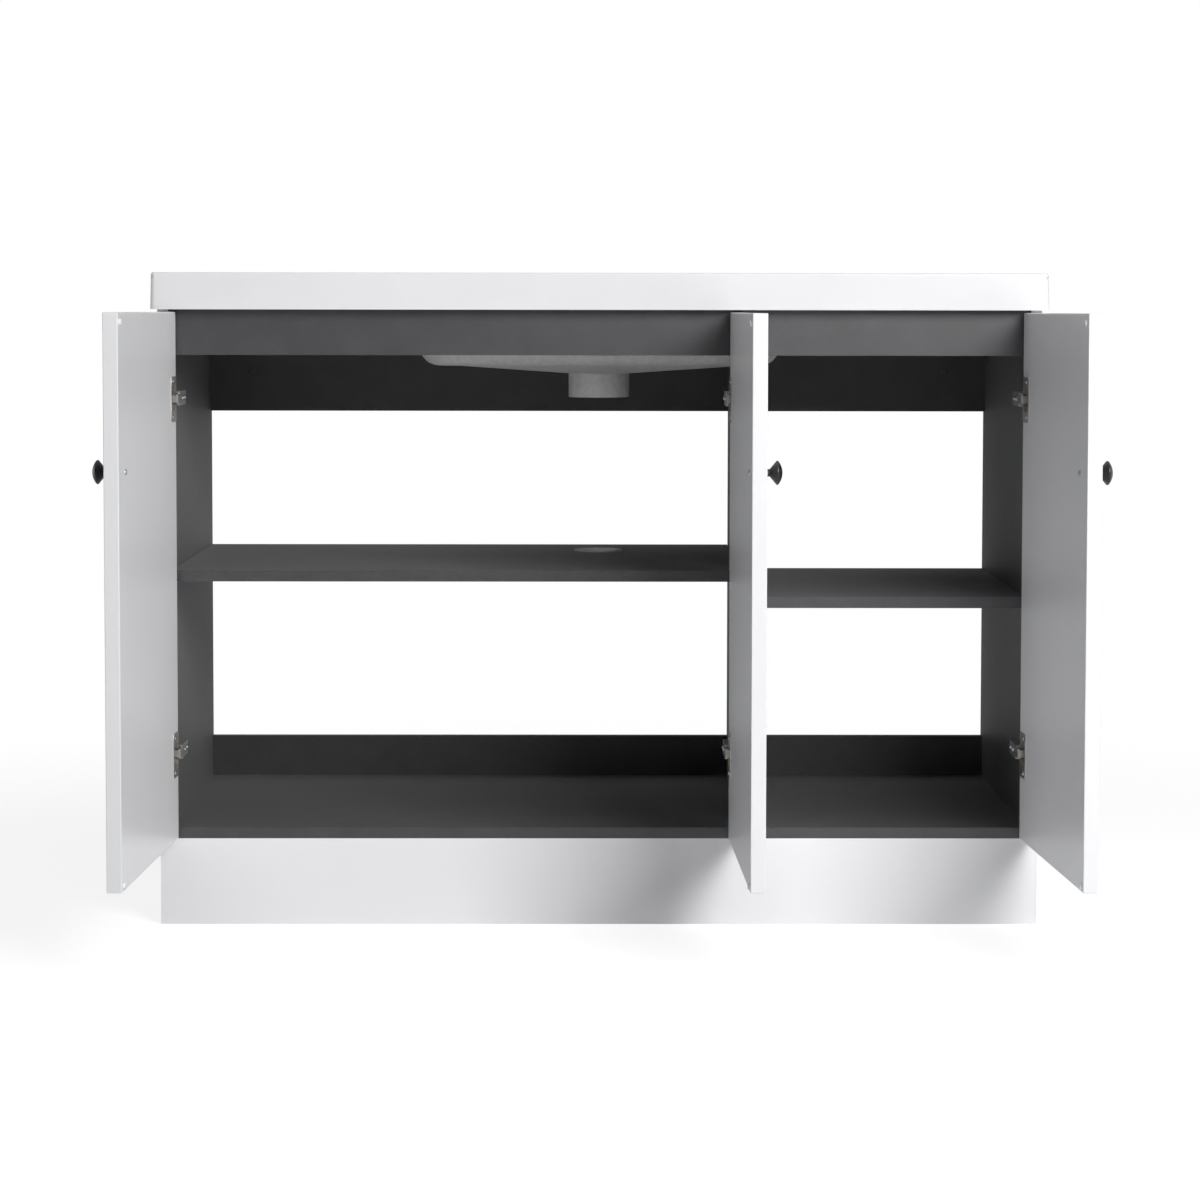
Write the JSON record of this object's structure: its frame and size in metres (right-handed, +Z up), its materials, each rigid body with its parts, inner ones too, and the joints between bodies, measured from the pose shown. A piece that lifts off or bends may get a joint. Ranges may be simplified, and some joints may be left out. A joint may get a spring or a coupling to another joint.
{
  "type": "sink base cabinet",
  "caption": "Vanity sink base cabinet with a moulded basin top, three hinged slab doors, shelves and an open back.",
  "frame": {"origin": "on the floor, midway along the front plane of the carcass, at the foot of the plinth board", "axes": "+X to the right seen from the front, +Y from front to back, +Z up"},
  "size_m": [1.2732, 0.8921, 0.895],
  "materials": {
    "melamine_board": "melamine-faced board, charcoal inside and white outside",
    "plinth_board": "white melamine-faced board",
    "moulded_top": "gloss white cast mineral composite",
    "lacquered_door": "white lacquered board",
    "zinc_screw": "zinc plated",
    "black_knob": "satin black",
    "nickel_hinge": "nickel plated pressed steel",
    "cam_zinc": "bare die-cast zinc",
    "beech_dowel": "fluted beech",
    "grommet_plastic": "charcoal polypropylene",
    "bumper_rubber": "clear soft bumper"
  },
  "bodies": {
    "root": {"arm_screws": "zinc_screw", "back_low_rail": "melamine_board", "back_top_rail": "melamine_board", "bottom_panel": "melamine_board", "cam_bolts": "zinc_screw", "cam_housings": "cam_zinc", "countertop_basin": "moulded_top", "divider_panel": "melamine_board", "front_top_rail": "melamine_board", "hinge_arm_left_lower": "nickel_hinge", "hinge_arm_left_upper": "nickel_hinge", "hinge_arm_middle_lower": "nickel_hinge", "hinge_arm_middle_upper": "nickel_hinge", "hinge_arm_right_lower": "nickel_hinge", "hinge_arm_right_upper": "nickel_hinge", "hinge_plate_left_lower": "nickel_hinge", "hinge_plate_left_upper": "nickel_hinge", "hinge_plate_middle_lower": "nickel_hinge", "hinge_plate_middle_upper": "nickel_hinge", "hinge_plate_right_lower": "nickel_hinge", "hinge_plate_right_upper": "nickel_hinge", "pipe_grommet": "grommet_plastic", "plate_screws": "zinc_screw", "plinth_board": "plinth_board", "shelf_left": "melamine_board", "shelf_pins_left": "zinc_screw", "shelf_pins_right": "zinc_screw", "shelf_right": "melamine_board", "side_panel_left": "melamine_board", "side_panel_right": "melamine_board", "wood_dowels": "beech_dowel"},
    "door_left": {"cup_screws_left": "zinc_screw", "door_bumpers_left": "bumper_rubber", "door_left": "lacquered_door", "hinge_cup_left_lower": "nickel_hinge", "hinge_cup_left_upper": "nickel_hinge", "hinge_pins_left": "nickel_hinge", "knob_left": "black_knob", "knob_screw_left": "zinc_screw"},
    "door_middle": {"cup_screws_middle": "zinc_screw", "door_bumpers_middle": "bumper_rubber", "door_middle": "lacquered_door", "hinge_cup_middle_lower": "nickel_hinge", "hinge_cup_middle_upper": "nickel_hinge", "hinge_pins_middle": "nickel_hinge", "knob_middle": "black_knob", "knob_screw_middle": "zinc_screw"},
    "door_right": {"cup_screws_right": "zinc_screw", "door_bumpers_right": "bumper_rubber", "door_right": "lacquered_door", "hinge_cup_right_lower": "nickel_hinge", "hinge_cup_right_upper": "nickel_hinge", "hinge_pins_right": "nickel_hinge", "knob_right": "black_knob", "knob_screw_right": "zinc_screw"}
  },
  "joints": [
    {"name": "door_left_swing", "type": "hinge", "parent": "root", "child": "door_left", "pos_m": [-0.59, -0.0155, 0.481], "axis": [0, 0, -1], "range_deg": [-92.7, 9.3]},
    {"name": "door_middle_swing", "type": "hinge", "parent": "root", "child": "door_middle", "pos_m": [0.18993, -0.0155, 0.481], "axis": [0, 0, 1], "range_deg": [-91.2, 10.8]},
    {"name": "door_right_swing", "type": "hinge", "parent": "root", "child": "door_right", "pos_m": [0.59, -0.0155, 0.481], "axis": [0, 0, 1], "range_deg": [-93.3, 8.7]}
  ]
}
